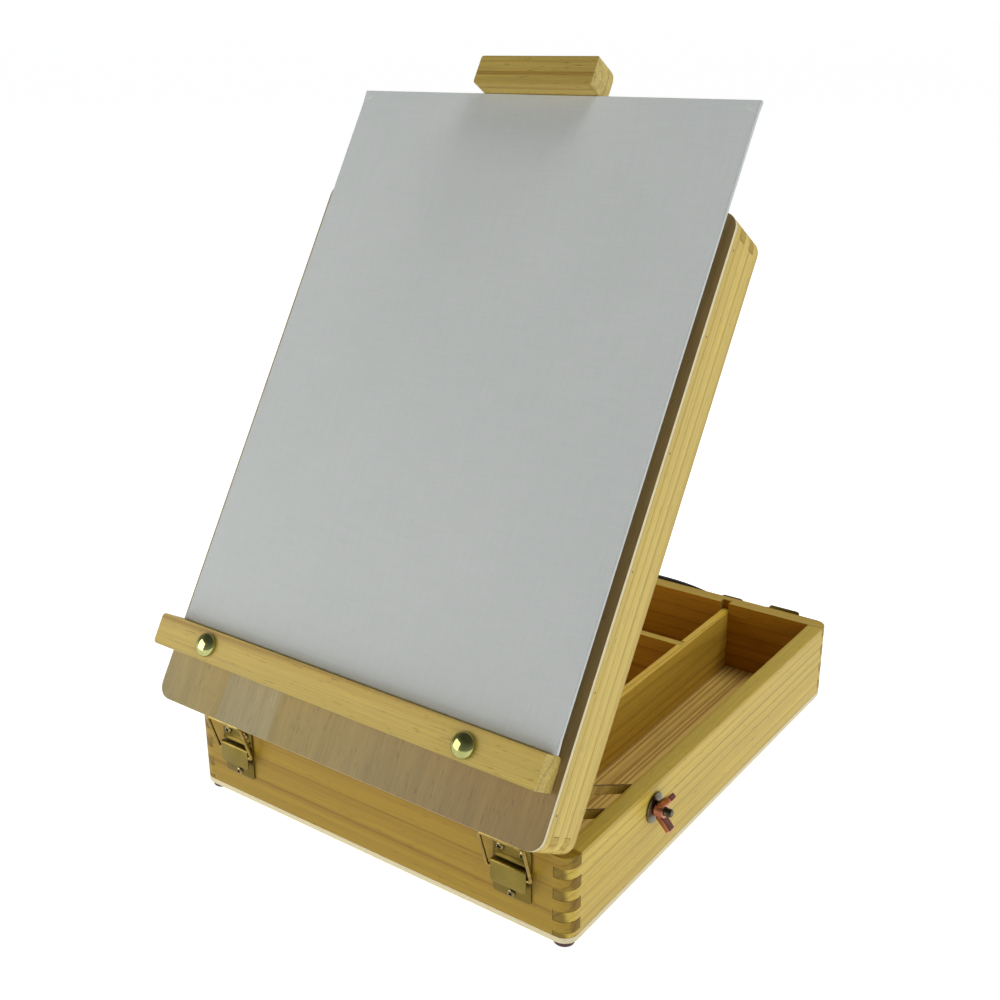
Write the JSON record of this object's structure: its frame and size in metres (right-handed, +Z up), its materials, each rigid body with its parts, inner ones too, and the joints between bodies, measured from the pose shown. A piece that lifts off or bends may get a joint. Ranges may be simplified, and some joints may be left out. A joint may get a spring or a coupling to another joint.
{
  "type": "tabletop box easel",
  "caption": "Tabletop box easel: finger-jointed pine box with trays, a tilting plywood-faced lid on slotted stays, canvas ledge, clamp mast, latches, handle and canvas board.",
  "frame": {"origin": "on the table, under the middle of the easel's outline, at the bottom of the feet", "axes": "+X to the painter's right, +Y away from the painter towards the carrying handle, +Z up"},
  "size_m": [0.3432, 0.437, 0.5018],
  "materials": {
    "pine": "clear satin varnish over pine with straight grain",
    "plywood": "satin, sliced veneer with fine dark flecks",
    "canvas": "matt primed cotton weave on board",
    "strap": "matt black moulded strap",
    "foot": "dark reddish-brown, matt",
    "copper_plate": "copper-coloured plating, bright edges",
    "dark_steel": "antique dark plating",
    "brass": "brass plated sheet, satin",
    "bolt_zinc": "yellow-green passivated zinc, bright",
    "yellow_zinc": "yellow passivated zinc"
  },
  "bodies": {
    "root": {"front_wall": "pine", "rear_wall": "pine", "left_wall": "pine", "right_wall": "pine", "base_panel": "plywood", "long_divider": "pine", "cross_divider": "pine", "foot_front_left": "foot", "foot_front_right": "foot", "foot_rear_left": "foot", "foot_rear_right": "foot", "stay_bolt_left": "dark_steel", "stay_bolt_right": "dark_steel", "stay_washer_left": "dark_steel", "stay_washer_right": "dark_steel", "latch_plate_front_left": "brass", "latch_plate_front_right": "brass", "latch_plate_rear_left": "brass", "latch_plate_rear_right": "brass", "handle_strap": "strap", "handle_end_left": "brass", "handle_end_right": "brass"},
    "lid": {"lid_panel": "plywood", "lid_bottom_rail": "pine", "lid_top_rail": "pine", "lid_left_rail": "pine", "lid_right_rail": "pine", "stay_pivot_left": "yellow_zinc", "stay_pivot_right": "yellow_zinc", "canvas_ledge": "pine", "ledge_bolt_left": "bolt_zinc", "ledge_bolt_right": "bolt_zinc", "latch_catch_front_left": "brass", "latch_catch_front_right": "brass", "latch_catch_rear_left": "brass", "latch_catch_rear_right": "brass"},
    "mast": {"mast": "pine", "clamp_block": "pine", "mast_bolt": "bolt_zinc"},
    "mast_wing_nut": {"mast_wing_nut": "copper_plate"},
    "canvas": {"canvas_board": "canvas"},
    "stay_left": {"stay_left": "yellow_zinc"},
    "stay_wing_nut_left": {"stay_wing_nut_left": "copper_plate"},
    "stay_right": {"stay_right": "yellow_zinc"},
    "stay_wing_nut_right": {"stay_wing_nut_right": "copper_plate"},
    "latch_lever_front_left": {"latch_lever_front_left": "brass"},
    "latch_bail_front_left": {"latch_bail_front_left": "brass"},
    "latch_lever_front_right": {"latch_lever_front_right": "brass"},
    "latch_bail_front_right": {"latch_bail_front_right": "brass"},
    "latch_lever_rear_left": {"latch_lever_rear_left": "brass"},
    "latch_bail_rear_left": {"latch_bail_rear_left": "brass"},
    "latch_lever_rear_right": {"latch_lever_rear_right": "brass"},
    "latch_bail_rear_right": {"latch_bail_rear_right": "brass"},
    "ledge_wing_nut_left": {"ledge_wing_nut_left": "copper_plate"},
    "ledge_wing_nut_right": {"ledge_wing_nut_right": "copper_plate"}
  },
  "joints": [
    {"name": "lid_tilt", "type": "hinge", "parent": "root", "child": "lid", "pos_m": [0, -0.18636, 0.067], "axis": [1, 0, 0], "range_deg": [-57.4, 10]},
    {"name": "stay_left_swing", "type": "hinge", "parent": "lid", "child": "stay_left", "pos_m": [-0.144, -0.1922, 0.10575], "axis": [1, 0, 0], "range_deg": [-9.2, 52.5]},
    {"name": "stay_wing_nut_left_turn", "type": "hinge", "parent": "root", "child": "stay_wing_nut_left", "pos_m": [-0.165, -0.08326, 0.0497], "axis": [-1, 0, 0], "continuous": true},
    {"name": "stay_right_swing", "type": "hinge", "parent": "lid", "child": "stay_right", "pos_m": [0.144, -0.1922, 0.10575], "axis": [1, 0, 0], "range_deg": [-9.2, 52.5]},
    {"name": "stay_wing_nut_right_turn", "type": "hinge", "parent": "root", "child": "stay_wing_nut_right", "pos_m": [0.165, -0.08326, 0.0497], "axis": [1, 0, 0], "continuous": true},
    {"name": "latch_lever_front_left_flip", "type": "hinge", "parent": "root", "child": "latch_lever_front_left", "pos_m": [-0.1167, -0.18766, 0.048], "axis": [-1, 0, 0], "range_deg": [0, 150]},
    {"name": "latch_bail_front_left_swing", "type": "hinge", "parent": "latch_lever_front_left", "child": "latch_bail_front_left", "pos_m": [-0.1167, -0.18806, 0.0438], "axis": [1, 0, 0], "range_deg": [0, 296.25]},
    {"name": "latch_lever_front_right_flip", "type": "hinge", "parent": "root", "child": "latch_lever_front_right", "pos_m": [0.1167, -0.18766, 0.048], "axis": [-1, 0, 0], "range_deg": [0, 150]},
    {"name": "latch_bail_front_right_swing", "type": "hinge", "parent": "latch_lever_front_right", "child": "latch_bail_front_right", "pos_m": [0.1167, -0.18806, 0.0438], "axis": [1, 0, 0], "range_deg": [0, 296.25]},
    {"name": "latch_lever_rear_left_flip", "type": "hinge", "parent": "root", "child": "latch_lever_rear_left", "pos_m": [-0.1167, 0.20694, 0.0515], "axis": [1, 0, 0], "range_deg": [-150, 0]},
    {"name": "latch_bail_rear_left_swing", "type": "hinge", "parent": "latch_lever_rear_left", "child": "latch_bail_rear_left", "pos_m": [-0.1167, 0.20869, 0.05534], "axis": [-1, 0, 0], "range_deg": [-296.25, 0]},
    {"name": "latch_lever_rear_right_flip", "type": "hinge", "parent": "root", "child": "latch_lever_rear_right", "pos_m": [0.1167, 0.20694, 0.0515], "axis": [1, 0, 0], "range_deg": [-150, 0]},
    {"name": "latch_bail_rear_right_swing", "type": "hinge", "parent": "latch_lever_rear_right", "child": "latch_bail_rear_right", "pos_m": [0.1167, 0.20869, 0.05534], "axis": [-1, 0, 0], "range_deg": [-296.25, 0]},
    {"name": "ledge_wing_nut_left_turn", "type": "hinge", "parent": "lid", "child": "ledge_wing_nut_left", "pos_m": [-0.1109, -0.18723, 0.12466], "axis": [0, -0.8425, 0.5388], "continuous": true},
    {"name": "ledge_wing_nut_right_turn", "type": "hinge", "parent": "lid", "child": "ledge_wing_nut_right", "pos_m": [0.1014, -0.18788, 0.12364], "axis": [0, -0.8425, 0.5388], "continuous": true},
    {"name": "mast_slide", "type": "slide", "parent": "lid", "child": "mast", "axis": [0, 0.5388, 0.8425], "range_m": [0, 0.12]},
    {"name": "mast_wing_nut_turn", "type": "hinge", "parent": "mast", "child": "mast_wing_nut", "pos_m": [0, -0.08681, 0.28169], "axis": [0, -0.8425, 0.5388], "continuous": true},
    {"name": "canvas_slide", "type": "slide", "parent": "lid", "child": "canvas", "axis": [1, 0, 0], "range_m": [-0.1, 0.1]}
  ],
  "couplings": [
    {"joint": "stay_left_swing", "follows": "lid_tilt", "ratio": -0.914},
    {"joint": "stay_right_swing", "follows": "lid_tilt", "ratio": -0.914},
    {"joint": "latch_bail_front_left_swing", "follows": "latch_lever_front_left_flip", "ratio": 1.975},
    {"joint": "latch_bail_front_right_swing", "follows": "latch_lever_front_right_flip", "ratio": 1.975},
    {"joint": "latch_bail_rear_left_swing", "follows": "latch_lever_rear_left_flip", "ratio": 1.975},
    {"joint": "latch_bail_rear_right_swing", "follows": "latch_lever_rear_right_flip", "ratio": 1.975}
  ]
}
